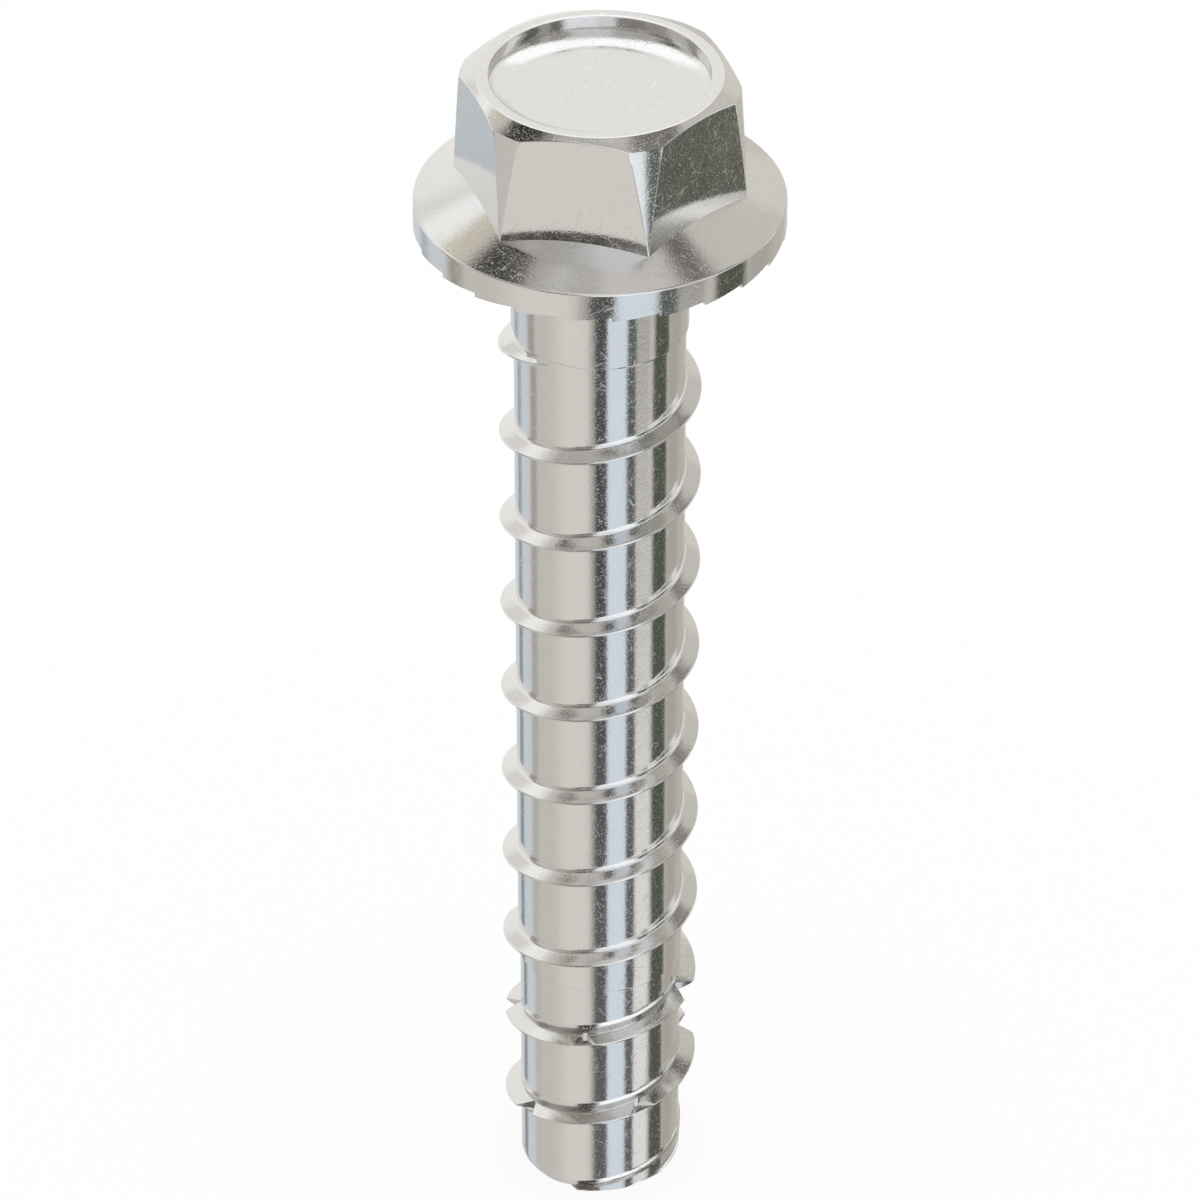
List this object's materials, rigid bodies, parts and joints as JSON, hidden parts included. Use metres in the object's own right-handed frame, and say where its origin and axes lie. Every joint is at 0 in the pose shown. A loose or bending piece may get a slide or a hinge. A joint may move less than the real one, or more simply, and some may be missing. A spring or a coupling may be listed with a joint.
{
  "type": "concrete screw",
  "caption": "Washer-head hexagon concrete screw with ratchet teeth under the flange, a rolled thread and a notched cutting coil at its blunt end.",
  "frame": {"origin": "centre of the flat end of the shank, on the surface that the screw stands on", "axes": "+Z along the screw's axis, from its blunt end to its head; +X to the right and +Y away from the viewer in the picture"},
  "size_m": [0.0404, 0.0404, 0.1456],
  "materials": {
    "screw_steel": "bright plated steel, satin, with fine handling marks",
    "coil_steel": "bright plated steel, satin"
  },
  "bodies": {
    "root": {"screw_body": "screw_steel", "cutting_coil": "coil_steel"}
  },
  "joints": []
}
